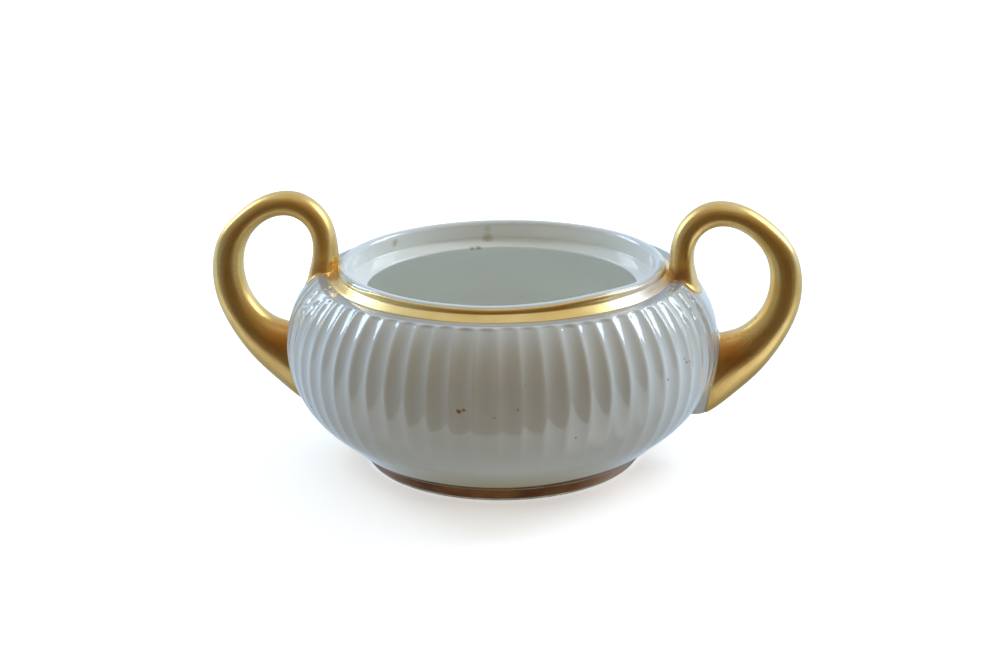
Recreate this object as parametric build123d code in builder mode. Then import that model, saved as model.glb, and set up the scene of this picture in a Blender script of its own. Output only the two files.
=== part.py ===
from build123d import *
import os
from math import acos, asin, cos, degrees, pi, sin, sqrt, tan

# Two-handled porcelain sugar bowl, open at the top, with a fluted belly and gilded trim.
# Millimetres, +Z up. The origin is the centre of the foot's underside, the bowl's axis
# is Z and the handles lie in the XZ plane, one each way along X.

# ---- driving dimensions ----
BELLY_R = 60.0  # widest radius, over the ridges between the flutes
BELLY_Z = 33.0  # height of the widest place
UPPER_ARC = 25.0  # radius of the belly's curve above the widest place
LOWER_ARC = 27.8  # and below it
CONE_TOP_Z = 12.0  # below this height the belly runs straight in to its base
BASE_Z = 4.5  # underside of the bowl, where the foot ring is stuck on
WALL = 3.0
FLOOR_Z = 8.0  # top of the bowl's floor
FLOOR_BEND = 6.0

SHOULDER_Z = 52.15  # the flat ring between the flutes and the neck
SHOULDER_BEND = 1.5
BAND_R = 47.4  # the neck's sloping band meets the shoulder here
NECK_Z = 53.7  # and the upright rim here
NECK_BEND = 0.5
LIP_R = 45.1  # outside of the rim
LIP_ROUND = 1.5  # the rim is fully rounded over its thickness
LIP_Z = 55.6

SEAT_R = 42.1  # inside of the rim, round the lid's edge
SEAT_BEND = 0.5
LEDGE_OUTER_Z = 50.25  # the lid ledge slopes a little down towards the bowl
LEDGE_INNER_Z = 49.0
THROAT_R = 37.3  # the hole inside the ledge
THROAT_BASE_Z = 46.9
THROAT_BEND = 0.8
LEDGE_BACK_Z = 49.0  # the ledge's underside meets the bowl's wall at this height

FLUTES = 64
FLUTE_CUTTER = 6.5  # radius of the groove's round section
FLUTE_SHARE = 0.9  # part of each pitch that the groove takes
FLUTE_END_R = 51.2  # middle of the round end of each groove, just below the shoulder
FLUTE_FADE = 2.6  # degrees by which the groove leaves the cone, so it fades at the foot
CUTTER_SHARE = 0.98  # part of each pitch that one cutter may fill

FOOT_BASE_R = 38.4  # outside of the foot ring at the table
FOOT_TOP_R = 41.0
FOOT_INNER_BASE_R = 35.4
FOOT_INNER_TOP_R = 34.6
FOOT_BEND = 0.6

SLIP = 0.4  # thickness of the slip that sticks each handle root to the bowl
SLIP_DEPTH = 0.8  # the slip fills the flutes under a root, which are less deep than this
ROOT_SPLIT_Z = 40.0  # between the lower and the upper roots
GILT = 0.12  # thickness of the gilding
FOOT_GILT_BASE_Z = 0.9
FOOT_GILT_TOP_Z = 6.0
NECK_GILT_TOP_Z = 54.6

# One handle, from its lower root round the loop to its upper root. Each station has the
# point on the loop's inner line and the point on its outer line, as distance out from
# the bowl's axis and height, then the handle's width across its own plane.
HANDLE_ROOT_LENGTH = 10.0  # the lower root runs straight into the bowl from the first station
HANDLE_RISE = {-1: 0.35, 1: -0.65}  # the two hand-set loops stand at slightly different heights
RISE_FROM_Z = 38.0  # the difference grows from here
RISE_FULL_Z = 62.0  # up to here
HANDLE_STATIONS = [
    ((59.6, 35.4), (57.7, 12.7), 12.5),
    ((61.6, 35.8), (63.8, 17.6), 12.2),
    ((65.2, 37.0), (70.9, 24.6), 11.3),
    ((69.2, 40.1), (76.6, 32.6), 10.4),
    ((72.2, 44.8), (80.7, 41.6), 9.6),
    ((73.5, 51.4), (81.9, 51.4), 8.9),
    ((72.4, 57.8), (79.3, 60.8), 8.3),
    ((69.2, 62.7), (73.6, 67.2), 7.8),
    ((63.6, 66.3), (65.6, 72.2), 7.5),
    ((57.9, 66.4), (56.3, 72.9), 7.5),
    ((53.7, 62.8), (48.6, 66.7), 7.6),
    ((52.6, 57.8), (46.3, 58.4), 7.8),
    ((53.3, 53.7), (46.2, 53.4), 8.2),
    ((56.6, 43.8), (46.4, 49.6), 8.6),
]

os.makedirs("parts", exist_ok=True)

# ---- points that the bowl's outside and inside share ----
upper_centre = BELLY_R - UPPER_ARC
lower_centre = BELLY_R - LOWER_ARC
cone_angle = asin((BELLY_Z - CONE_TOP_Z) / LOWER_ARC)
shoulder_angle = asin((SHOULDER_Z - BELLY_Z) / UPPER_ARC)
ledge_back_angle = asin((LEDGE_BACK_Z - BELLY_Z) / (UPPER_ARC - WALL))


def cone_line(depth, low_z):
    """The straight foot of the belly, this deep in the wall: its low end, then its top end."""
    radius = LOWER_ARC - depth
    top = (lower_centre + radius * cos(cone_angle), BELLY_Z - radius * sin(cone_angle))
    low = (top[0] - (top[1] - low_z) * tan(cone_angle), low_z)
    return low, top


def belly_arcs(depth, top_angle):
    """The two arcs of the belly, this deep in the wall, from the cone up to an angle in radians."""
    low_arc = degrees(cone_angle)
    CenterArc((lower_centre, BELLY_Z), LOWER_ARC - depth, -low_arc, low_arc)
    CenterArc((upper_centre, BELLY_Z), UPPER_ARC - depth, 0, degrees(top_angle))


def corner(section, x, z):
    """The corner of a section nearest to a point."""
    return section.vertices().sort_by_distance((x, z))[0]


def outside_section(grow=0.0):
    """Half section of the bowl as if it were solid, grown outwards or shrunk."""
    low, top = cone_line(0, BASE_Z)
    shoulder_r = upper_centre + UPPER_ARC * cos(shoulder_angle)
    with BuildSketch() as section:
        with BuildLine():
            Polyline((0, LIP_Z), (0, BASE_Z), low, top)
            belly_arcs(0, shoulder_angle)
            Polyline(
                (shoulder_r, SHOULDER_Z),
                (BAND_R, SHOULDER_Z),
                (LIP_R, NECK_Z),
                (LIP_R, LIP_Z - LIP_ROUND),
            )
            CenterArc((LIP_R - LIP_ROUND, LIP_Z - LIP_ROUND), LIP_ROUND, 0, 90)
            Line((LIP_R - LIP_ROUND, LIP_Z), (0, LIP_Z))
        make_face()
        fillet(corner(section, shoulder_r, SHOULDER_Z), SHOULDER_BEND)
        fillet(corner(section, LIP_R, NECK_Z), NECK_BEND)
        if grow:
            offset(amount=grow, kind=Kind.INTERSECTION)
            with Locations((0, LIP_Z / 2)):
                Rectangle(BELLY_R, 2 * LIP_Z, align=(Align.MAX, Align.CENTER), mode=Mode.SUBTRACT)
    return section.sketch


def foot_section():
    """Section of the foot ring, with a rounded standing edge."""
    with BuildSketch() as section:
        with BuildLine():
            Polyline(
                (FOOT_INNER_BASE_R, 0),
                (FOOT_BASE_R, 0),
                (FOOT_TOP_R, BASE_Z),
                (FOOT_INNER_TOP_R, BASE_Z),
                close=True,
            )
        make_face()
        for edge_r in (FOOT_INNER_BASE_R, FOOT_BASE_R):
            fillet(corner(section, edge_r, 0), FOOT_BEND)
    return section.sketch


def solid_bowl(grow):
    """The bowl as if it were solid, grown outwards or shrunk."""
    with BuildPart() as bowl:
        with BuildSketch(Plane.YZ):
            add(outside_section(grow))
        revolve(axis=Axis.Z)
    return bowl.part


def handle_point(point, side):
    """A station's point, moved up or down by its handle's rise."""
    share = (point[1] - RISE_FROM_Z) / (RISE_FULL_Z - RISE_FROM_Z)
    return point[0], point[1] + HANDLE_RISE[side] * min(max(share, 0.0), 1.0)


def handle_section(station, side, grow):
    """The handle's oval section at one station."""
    inner, outer = (handle_point(point, side) for point in station[:2])
    width = station[2]
    across = Vector(side * (outer[0] - inner[0]), 0, outer[1] - inner[1])
    middle = Vector(side * (outer[0] + inner[0]), 0, outer[1] + inner[1]) / 2
    along = across.cross(Vector(0, side, 0))
    with BuildSketch(Plane(origin=middle, x_dir=across, z_dir=along)) as section:
        Ellipse(across.length / 2 + grow, width / 2 + grow)
    return section.sketch


def handle_loop(side, grow=0.0):
    """One handle as a loft through its stations, with both roots reaching into the bowl."""
    with BuildPart() as loop:
        loft([handle_section(station, side, grow) for station in HANDLE_STATIONS])
        extrude(handle_section(HANDLE_STATIONS[0], side, grow), amount=-HANDLE_ROOT_LENGTH)
    return loop.part


def groove_offset(radius):
    """How far outside the belly the middle of the flute cutter runs, at a radius of the belly."""
    half_width = FLUTE_SHARE * pi * radius / FLUTES
    return sqrt(FLUTE_CUTTER**2 - half_width**2)


def write(piece, name):
    """Label a finished piece and write it as a STEP file."""
    piece.label = name
    export_step(piece, f"parts/{name}.step")


# ---- the cutter for one flute: a round bar bent along the belly, with a ball at its top ----
flute_end_angle = acos((FLUTE_END_R - upper_centre) / UPPER_ARC)
belly_offset = groove_offset(BELLY_R)
upper_rise = (groove_offset(FLUTE_END_R) - belly_offset) / sin(flute_end_angle)
cone_top_r = cone_line(0, BASE_Z)[1][0]
lower_drop = (groove_offset(cone_top_r) - belly_offset) / sin(cone_angle)
with BuildPart() as flute_cutter:
    with BuildLine(Plane.XZ):
        upper = CenterArc(
            (upper_centre, BELLY_Z + upper_rise),
            UPPER_ARC + belly_offset,
            degrees(flute_end_angle),
            -degrees(flute_end_angle),
        )
        Line(upper @ 1, (BELLY_R + belly_offset, BELLY_Z - lower_drop))
        lower = CenterArc(
            (lower_centre, BELLY_Z - lower_drop),
            LOWER_ARC + belly_offset,
            0,
            FLUTE_FADE - degrees(cone_angle),
        )
        Line(lower @ 1, lower @ 1 + lower % 1 * 2 * (CONE_TOP_Z - BASE_Z))
    with BuildSketch(Plane(origin=upper @ 0, z_dir=upper % 0)):
        Circle(FLUTE_CUTTER)
    sweep()
    with Locations(upper @ 0):
        Sphere(FLUTE_CUTTER)
    # Less than one pitch wide, so that neighbouring cutters stay apart.
    reach = BELLY_R + 2 * FLUTE_CUTTER
    half_width = reach * tan(CUTTER_SHARE * pi / FLUTES)
    with BuildSketch():
        Polygon((0, 0), (reach, -half_width), (reach, half_width), align=None)
    extrude(amount=LIP_Z + FLUTE_CUTTER, mode=Mode.INTERSECT)

# ---- the bowl: fluted outside, hollow inside, with its neck, rim and lid ledge ----
floor_end, inner_cone_top = cone_line(WALL, FLOOR_Z)
ledge_back_r = upper_centre + (UPPER_ARC - WALL) * cos(ledge_back_angle)
with BuildPart() as bowl_body:
    add(solid_bowl(0))
    with PolarLocations(0, FLUTES, start_angle=180 / FLUTES):
        add(flute_cutter.part, mode=Mode.SUBTRACT)
    with BuildSketch(Plane.YZ) as hollow:
        with BuildLine():
            Polyline((0, 2 * LIP_Z), (0, FLOOR_Z), floor_end, inner_cone_top)
            belly_arcs(WALL, ledge_back_angle)
            Polyline(
                (ledge_back_r, LEDGE_BACK_Z),
                (THROAT_R, THROAT_BASE_Z),
                (THROAT_R, LEDGE_INNER_Z),
                (SEAT_R, LEDGE_OUTER_Z),
                (SEAT_R, LIP_Z - LIP_ROUND),
            )
            CenterArc((SEAT_R + LIP_ROUND, LIP_Z - LIP_ROUND), LIP_ROUND, 180, -90)
            Polyline((SEAT_R + LIP_ROUND, LIP_Z), (SEAT_R + LIP_ROUND, 2 * LIP_Z), (0, 2 * LIP_Z))
        make_face()
        fillet(corner(hollow, *floor_end), FLOOR_BEND)
        fillet(corner(hollow, ledge_back_r, LEDGE_BACK_Z), THROAT_BEND)
        fillet(corner(hollow, THROAT_R, THROAT_BASE_Z), THROAT_BEND)
        fillet(corner(hollow, THROAT_R, LEDGE_INNER_Z), THROAT_BEND)
        fillet(corner(hollow, SEAT_R, LEDGE_OUTER_Z), SEAT_BEND)
    revolve(axis=Axis.Z, mode=Mode.SUBTRACT)
write(bowl_body.part, "bowl_body")

# ---- the foot ring under the bowl ----
with BuildPart() as foot_ring:
    with BuildSketch(Plane.YZ):
        add(foot_section())
    revolve(axis=Axis.Z)
write(foot_ring.part, "foot_ring")

# ---- the handles: porcelain core, the gilding over it, and two slip joints to the bowl ----
bowl_with_slip = solid_bowl(SLIP)
bowl_heart = solid_bowl(-SLIP_DEPTH)
for side, side_name in ((-1, "left"), (1, "right")):
    with BuildPart() as handle:
        add(handle_loop(side))
        add(bowl_with_slip, mode=Mode.SUBTRACT)
    write(handle.part, f"{side_name}_handle")

    with BuildPart() as handle_gilding:
        add(handle_loop(side, GILT))
        add(bowl_with_slip, mode=Mode.SUBTRACT)
        add(handle_loop(side), mode=Mode.SUBTRACT)
    write(handle_gilding.part, f"{side_name}_handle_gilding")

    for root_name, root_z, root_up in (("lower", 0, ROOT_SPLIT_Z), ("upper", ROOT_SPLIT_Z, LIP_Z)):
        with BuildPart() as slip_joint:
            add(handle_loop(side))
            add(bowl_with_slip, mode=Mode.INTERSECT)
            add(bowl_heart, mode=Mode.SUBTRACT)
            with BuildSketch(Plane.XY.offset(root_z)):
                Rectangle(4 * BELLY_R, 4 * BELLY_R)
            extrude(amount=root_up, mode=Mode.INTERSECT)
            add(bowl_body.part, mode=Mode.SUBTRACT)
        write(slip_joint.part, f"{side_name}_{root_name}_slip_joint")

# ---- the gold band round the neck, which stops at each handle ----
with BuildPart() as neck_gilding:
    with BuildSketch(Plane.YZ):
        add(outside_section(GILT))
        add(outside_section(), mode=Mode.SUBTRACT)
        with Locations((LIP_R, SHOULDER_Z + GILT)):
            Rectangle(
                2 * (BAND_R - LIP_R + GILT),
                NECK_GILT_TOP_Z - SHOULDER_Z - GILT,
                align=(Align.CENTER, Align.MIN),
                mode=Mode.INTERSECT,
            )
    revolve(axis=Axis.Z)
    for side in (-1, 1):
        add(handle_loop(side, GILT), mode=Mode.SUBTRACT)
write(neck_gilding.part, "neck_gilding")

# ---- the gold band round the foot, which covers the joint between the ring and the bowl ----
with BuildPart() as foot_gilding:
    with BuildSketch(Plane.YZ):
        add(outside_section())
        add(foot_section())
        offset(amount=GILT, kind=Kind.INTERSECTION)
        add(outside_section(), mode=Mode.SUBTRACT)
        add(foot_section(), mode=Mode.SUBTRACT)
        with Locations((FOOT_INNER_BASE_R + FOOT_BEND, FOOT_GILT_BASE_Z)):
            Rectangle(
                BELLY_R - FOOT_INNER_BASE_R,
                FOOT_GILT_TOP_Z - FOOT_GILT_BASE_Z,
                align=(Align.MIN, Align.MIN),
                mode=Mode.INTERSECT,
            )
    revolve(axis=Axis.Z)
write(foot_gilding.part, "foot_gilding")
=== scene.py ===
import math
import random

import bpy
import numpy as np
from mathutils import Matrix, Vector


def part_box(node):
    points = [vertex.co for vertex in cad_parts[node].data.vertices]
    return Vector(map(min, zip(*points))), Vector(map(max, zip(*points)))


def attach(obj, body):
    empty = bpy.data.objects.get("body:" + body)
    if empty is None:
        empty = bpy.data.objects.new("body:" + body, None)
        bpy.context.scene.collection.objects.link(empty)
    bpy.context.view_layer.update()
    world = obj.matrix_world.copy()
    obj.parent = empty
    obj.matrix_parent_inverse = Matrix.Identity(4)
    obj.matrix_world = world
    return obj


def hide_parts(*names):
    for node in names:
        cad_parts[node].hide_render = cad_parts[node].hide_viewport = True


# A two-handled porcelain sugar bowl, open at the top: fluted belly, gilded neck, foot and handles.
# Shapes are worked out in millimetres and become metres when a mesh is made. The bowl's axis is Z,
# the handles lie in the XZ plane, and z = 0 is the surface that the bowl stands on.
MM = 0.001

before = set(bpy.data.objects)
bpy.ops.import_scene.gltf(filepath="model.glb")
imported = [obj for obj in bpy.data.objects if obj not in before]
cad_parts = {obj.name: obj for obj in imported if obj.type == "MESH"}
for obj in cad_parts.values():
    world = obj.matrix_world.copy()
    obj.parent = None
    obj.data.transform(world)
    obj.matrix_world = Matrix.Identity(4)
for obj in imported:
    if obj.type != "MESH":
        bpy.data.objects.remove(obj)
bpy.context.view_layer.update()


def node_box(node):
    """A CAD node's lowest and highest corners, in millimetres."""
    low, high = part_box(node)
    return [value / MM for value in low], [value / MM for value in high]


# ---- sizes taken from the frame ----
body_low, body_high = node_box("bowl_body")
foot_high = node_box("foot_ring")[1]
band_high = node_box("neck_gilding")[1]
foot_gilt_low, foot_gilt_high = node_box("foot_gilding")
BELLY_R = body_high[0]
LIP_Z = body_high[2]
BASE_Z = body_low[2]
FOOT_TOP_R = foot_high[0]

# ---- the rest of the bowl's section, as in the CAD model ----
BELLY_Z = 33.0
UPPER_ARC = 25.0
LOWER_ARC = 27.8
CONE_TOP_Z = 12.0
WALL = 3.0
FLOOR_Z = 8.0
SHOULDER_Z = 52.15
BAND_R = 47.4
NECK_Z = 53.7
LIP_R = 45.1
LIP_ROUND = 1.5
SEAT_R = 42.1
LEDGE_OUTER_Z = 50.25
LEDGE_INNER_Z = 49.0
THROAT_R = 37.3
THROAT_BASE_Z = 48.3  # the ledge is drawn with a finer edge than the CAD solid has
LEDGE_BACK_Z = 49.0
FOOT_BASE_R = 38.4
FOOT_INNER_BASE_R = 35.4
FOOT_INNER_TOP_R = 34.6
UPPER_CENTRE = BELLY_R - UPPER_ARC
LOWER_CENTRE = BELLY_R - LOWER_ARC
CONE_ANGLE = math.asin((BELLY_Z - CONE_TOP_Z) / LOWER_ARC)
CONE_TOP_R = LOWER_CENTRE + LOWER_ARC * math.cos(CONE_ANGLE)
BASE_R = CONE_TOP_R - (CONE_TOP_Z - BASE_Z) * math.tan(CONE_ANGLE)
BELLY_END_ANGLE = 46.5  # degrees up the upper arc where the rounding into the shoulder begins
FLOOR_DIP = 0.25  # the bowl's floor is this much lower in the middle
MIDDLE_R = 1.2  # the innermost ring of points, round the middle of the bowl's floor

# ---- flutes ----
FLUTES = 64
FLUTE_DEPTH = 0.52  # before it fades towards the foot and the shoulder
FLUTE_HALF = 0.44  # half of the groove, as a share of the pitch
FLUTE_TOP_ANGLE = 47.2  # degrees up the belly's arc where the round end of a groove begins
FLUTE_ARCH = 1.4  # length of the round end
FLUTE_FADE_Z = (6.0, 47.0)  # the grooves grow between these heights
FLUTE_COLUMNS = (-0.5, -0.44, -0.37, -0.27, -0.14, 0.0, 0.14, 0.27, 0.37, 0.44)  # of the pitch
FLUTE_ROUND = 0.012  # how softly a groove's sides turn into the ridges
FLUTE_END_DROP = 0.9  # how much steeper a groove's round end is than its sides

# ---- the lip's waves: bearing in degrees, rise in millimetres and width in degrees ----
RIM_WAVES = [(-48.0, 0.8, 20.0), (-135.0, 0.25, 22.0), (-90.0, -0.12, 12.0)]

# ---- glaze ----
PAINTED_SHADE_R = 50.0  # painted shade darkens the glaze in the corner under the neck band, out to here
PAINTED_SHADE_FADE = 1.4  # and ends over this much more
NECK_PAINTED_LIGHT = 0.5  # how much of the bowl's painted inside light the neck's inside gets

# ---- gilding and slip ----
GILT = 0.12  # thickness
BAND_ABOVE = 0.45  # the neck's brushed band runs this much further up than its CAD solid
FOOT_BAND_ABOVE = 0.6  # and the foot's band this much further up than its own
FOOT_BAND_LIFT = 2.3  # added to that at the right
NECK_WEAR_BEARING = 214.0  # degrees: where the top edge of the neck's gold is worn low
NECK_WEAR = 0.7  # how low
GILT_UNDER = 0.05  # how deep the gilding's inside lies in what it covers, so that no gap shows
HANDLE_RISE = {-1: 0.35, 1: -0.65}  # the two hand-set loops stand at slightly different heights
RISE_FROM_Z = 38.0  # the difference grows from here
RISE_FULL_Z = 62.0  # up to here
# A handle's sections from its lower root to its upper one: (x, z) at the inside of the loop, (x, z)
# at its outside, and the width along Y.
HANDLE_STATIONS = [
    ((50.4, 34.8), (48.6, 13.1), 12.5),
    ((59.6, 35.4), (57.7, 12.7), 12.5),
    ((61.6, 35.8), (63.8, 17.6), 12.2),
    ((65.2, 37.0), (70.9, 24.6), 11.3),
    ((69.2, 40.1), (76.6, 32.6), 10.4),
    ((72.2, 44.8), (80.7, 41.6), 9.6),
    ((73.5, 51.4), (81.9, 51.4), 8.9),
    ((72.4, 57.8), (79.3, 60.8), 8.3),
    ((69.2, 62.7), (73.6, 67.2), 7.8),
    ((63.6, 66.3), (65.6, 72.2), 7.5),
    ((57.9, 66.4), (56.3, 72.9), 7.5),
    ((53.7, 62.8), (48.6, 66.7), 7.9),
    ((52.6, 57.8), (46.3, 58.4), 10.3),
    ((53.2, 53.7), (46.2, 53.4), 14.0),
    ((54.3, 49.2), (46.3, 51.0), 17.6),
    ((54.9, 45.2), (46.6, 48.6), 19.0),
]
LOWER_FLARE = 0.9  # radius of the hollow where a lower root meets the bowl
UPPER_FLARE = 0.6  # and an upper root
SLIP_LINE = 0.35  # a lower root's gold stops this far from the bowl, and white slip shows there
SLIP_LINE_UNDER = 4.4  # added to it under the root
STROKE = 0.09  # a brush stroke's width over its length
ROOT_DEPTH = -1.2  # handle and slip meshes end this far inside the bowl's wall


# ================= geometry helpers =================
def smooth_step(low, high, value):
    """0 below low, 1 above high, and a smooth rise between."""
    t = np.clip((value - low) / (high - low), 0.0, 1.0)
    return t * t * (3.0 - 2.0 * t)


def arc(centre, radius, start, end, step=0.25):
    """Points of an arc in the section plane, angles in degrees."""
    count = max(2, int(abs(math.radians(end - start)) * radius / step) + 1)
    angles = np.radians(np.linspace(start, end, count))
    return np.column_stack((centre[0] + radius * np.cos(angles), centre[1] + radius * np.sin(angles)))


def rounded(corners):
    """A line through (x, z, bend) corners, each rounded to its bend radius."""
    points = [np.array(corners[0][:2], float)]
    for before, here, after in zip(corners, corners[1:], corners[2:]):
        tip = np.array(here[:2], float)
        back = np.array(before[:2], float) - tip
        ahead = np.array(after[:2], float) - tip
        back /= np.linalg.norm(back)
        ahead /= np.linalg.norm(ahead)
        turn = math.acos(np.clip(-back @ ahead, -1.0, 1.0))
        reach = here[2] * math.tan(turn / 2)
        for t in np.linspace(0.0, 1.0, 13 if here[2] else 1):
            # A quadratic curve through the two tangent points stays close to the arc.
            points.append(tip + reach * ((1 - t) ** 2 * back + t**2 * ahead))
    points.append(np.array(corners[-1][:2], float))
    return np.array(points)


def path_length(points):
    """Distance along a path at each of its points."""
    steps = np.linalg.norm(np.diff(points, axis=0), axis=1)
    return np.concatenate(([0.0], np.cumsum(steps)))


def at_distance(points, distances):
    """Points of a path at these distances along it."""
    length = path_length(points)
    return np.column_stack([np.interp(distances, length, points[:, k]) for k in range(points.shape[1])])


def outward(points):
    """Unit normals of a section path, to the right of its direction."""
    run = np.gradient(points, axis=0)
    normal = np.column_stack((run[:, 1], -run[:, 0]))
    return normal / np.linalg.norm(normal, axis=1)[:, None]


def natural_spline(knots, values, where):
    """A natural cubic spline through values at knots, worked out at the places in where."""
    values = np.asarray(values, float)
    count = len(knots)
    gap = np.diff(knots)
    system = np.zeros((count, count))
    right = np.zeros((count,) + values.shape[1:])
    system[0, 0] = system[-1, -1] = 1.0
    for i in range(1, count - 1):
        system[i, i - 1 : i + 2] = gap[i - 1], 2 * (gap[i - 1] + gap[i]), gap[i]
        rise = (values[i + 1] - values[i]) / gap[i] - (values[i] - values[i - 1]) / gap[i - 1]
        right[i] = 6 * rise
    bend = np.linalg.solve(system, right)
    span = np.clip(np.searchsorted(knots, where) - 1, 0, count - 2)
    h = gap[span][:, None]
    a = (knots[span + 1] - where)[:, None] / h
    b = 1.0 - a
    curve = a * values[span] + b * values[span + 1]
    return curve + ((a**3 - a) * bend[span] + (b**3 - b) * bend[span + 1]) * h**2 / 6


def wobble(angles, seed, size, waves=(2, 3, 5, 8, 13)):
    """A small hand-made unevenness round the bowl, in millimetres."""
    chance = random.Random(seed)
    total = np.zeros_like(angles)
    for wave in waves:
        total += math.sqrt(1.0 / wave) * np.sin(wave * angles + chance.uniform(0, 2 * math.pi))
    return size * total


def bridge(first, second, start_first, start_second):
    """Faces between two rings that have the same count, or where one has twice the other's."""
    n, m = first, second
    i = np.arange(min(n, m))
    j = (i + 1) % min(n, m)
    if n == m:
        return [np.column_stack((start_first + i, start_first + j, start_second + j, start_second + i))]
    if n == 2 * m:
        a, b, c = start_first + 2 * i, start_first + 2 * i + 1, start_first + 2 * j
        low, high = start_second + i, start_second + j
        return [np.column_stack(t) for t in ((a, b, low), (b, high, low), (b, c, high))]
    a, b, c = start_second + 2 * i, start_second + 2 * i + 1, start_second + 2 * j
    low, high = start_first + i, start_first + j
    return [np.column_stack(t) for t in ((low, b, a), (low, high, b), (high, c, b))]


def mesh_object(name, vertices, faces):
    """A mesh object in the scene. Vertices are in metres."""
    mesh = bpy.data.meshes.new(name)
    mesh.from_pydata(vertices, [], faces)
    made = bpy.data.objects.new(name, mesh)
    bpy.context.scene.collection.objects.link(made)
    return made


def ring_mesh(name, rings, close=False, cap_ends=False):
    """A mesh through rings of points in millimetres. close joins the last ring to the first."""
    starts = np.concatenate(([0], np.cumsum([len(ring) for ring in rings])))
    faces = []
    pairs = list(zip(range(len(rings)), range(1, len(rings))))
    if close:
        pairs.append((len(rings) - 1, 0))
    for a, b in pairs:
        for block in bridge(len(rings[a]), len(rings[b]), starts[a], starts[b]):
            faces.extend(block.tolist())
    vertices = np.vstack(rings)
    if cap_ends:
        for ring, start, order in ((rings[0], starts[0], -1), (rings[-1], starts[-2], 1)):
            middle = len(vertices)
            vertices = np.vstack((vertices, ring.mean(axis=0)))
            for i in range(len(ring)):
                edge = [start + i, start + (i + 1) % len(ring)]
                faces.append(edge[::order] + [middle])
    piece = mesh_object(name, (vertices * MM).tolist(), faces)
    piece.data.validate()
    piece.data.update()
    piece.data.shade_smooth()
    return piece


def face_outwards(piece):
    """Turns a closed mesh right way out, by the sign of its volume."""
    mesh = piece.data
    mesh.calc_loop_triangles()
    co = np.empty(len(mesh.vertices) * 3)
    mesh.vertices.foreach_get("co", co)
    co = co.reshape(-1, 3)
    tri = np.empty(len(mesh.loop_triangles) * 3, dtype=np.int32)
    mesh.loop_triangles.foreach_get("vertices", tri)
    a, b, c = (co[tri[k::3]] for k in range(3))
    if np.einsum("ij,ij->i", a, np.cross(b, c)).sum() < 0:
        mesh.flip_normals()


def add_values(piece, name, values):
    """Stores one number for each vertex, for the material to read."""
    layer = piece.data.attributes.new(name, "FLOAT", "POINT")
    layer.data.foreach_set("value", np.asarray(values, dtype=np.float32))


def add_brush(piece, places):
    """Stores where each vertex lies for the brush strokes: millimetres, short along the stroke."""
    layer = piece.data.attributes.new("brush", "FLOAT_VECTOR", "POINT")
    layer.data.foreach_set("vector", np.asarray(places, dtype=np.float32).ravel())


def lathe_rings(section, angles):
    """Rings of a section turned about the bowl's axis."""
    cos, sin = np.cos(angles), np.sin(angles)
    return [np.column_stack((r * cos, r * sin, np.full_like(angles, z))) for r, z in section]


def add_piece(piece, material, slot, *nodes):
    """Gives a piece its material and its body, turns it right way out and hides the CAD nodes that it
    stands for. slot is not used.
    """
    piece.data.materials.append(material)
    face_outwards(piece)
    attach(piece, "root")
    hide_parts(*nodes)
    return piece


# ================= the bowl's section =================
def outside_path():
    """The outside, from the foot joint up the belly and over the shoulder to the top of the rim."""
    last = BELLY_END_ANGLE
    belly_end = arc((UPPER_CENTRE, BELLY_Z), UPPER_ARC, last, last + 1)[0]
    shoulder_r = UPPER_CENTRE + math.sqrt(UPPER_ARC**2 - (SHOULDER_Z - BELLY_Z) ** 2)
    return np.vstack(
        (
            rounded(
                [
                    (FOOT_INNER_TOP_R, BASE_Z, 0),
                    (BASE_R, BASE_Z, 0.5),
                    (CONE_TOP_R, CONE_TOP_Z, 0),
                ]
            )[:-1],
            arc((LOWER_CENTRE, BELLY_Z), LOWER_ARC, -math.degrees(CONE_ANGLE), 0)[:-1],
            arc((UPPER_CENTRE, BELLY_Z), UPPER_ARC, 0, last)[:-1],
            rounded(
                [
                    (*belly_end, 0),
                    (shoulder_r, SHOULDER_Z, 1.6),
                    (BAND_R, SHOULDER_Z, 0.35),
                    (LIP_R, NECK_Z, 0.45),
                    (LIP_R, LIP_Z - LIP_ROUND, 0),
                ]
            )[:-1],
            arc((LIP_R - LIP_ROUND, LIP_Z - LIP_ROUND), LIP_ROUND, 0, 90, 0.1),
        )
    )


def inside_path():
    """The inside, from the top of the rim down past the lid ledge to the middle of the floor."""
    top_angle = math.degrees(math.asin((LEDGE_BACK_Z - BELLY_Z) / (UPPER_ARC - WALL)))
    back_r = UPPER_CENTRE + (UPPER_ARC - WALL) * math.cos(math.radians(top_angle))
    low_angle = -math.degrees(CONE_ANGLE)
    cone = arc((LOWER_CENTRE, BELLY_Z), LOWER_ARC - WALL, 0, low_angle)
    cone_end = cone[-1]
    floor_r = cone_end[0] - (cone_end[1] - FLOOR_Z) * math.tan(CONE_ANGLE)
    return np.vstack(
        (
            arc((SEAT_R + LIP_ROUND, LIP_Z - LIP_ROUND), LIP_ROUND, 90, 180, 0.1)[1:-1],
            rounded(
                [
                    (SEAT_R, LIP_Z - LIP_ROUND, 0),
                    (SEAT_R, LEDGE_OUTER_Z, 0.6),
                    (THROAT_R, LEDGE_INNER_Z, 0.35),
                    (THROAT_R, THROAT_BASE_Z, 0.3),
                    (back_r, LEDGE_BACK_Z, 0.8),
                    (back_r + 0.9, LEDGE_BACK_Z - 1.8, 0),
                ]
            )[:-1],
            arc((UPPER_CENTRE, BELLY_Z), UPPER_ARC - WALL, top_angle - 5, 0)[:-1],
            cone[:-1],
            rounded([(*cone_end, 0), (floor_r, FLOOR_Z, 8.0), (MIDDLE_R, FLOOR_Z - FLOOR_DIP, 0)]),
        )
    )


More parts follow.
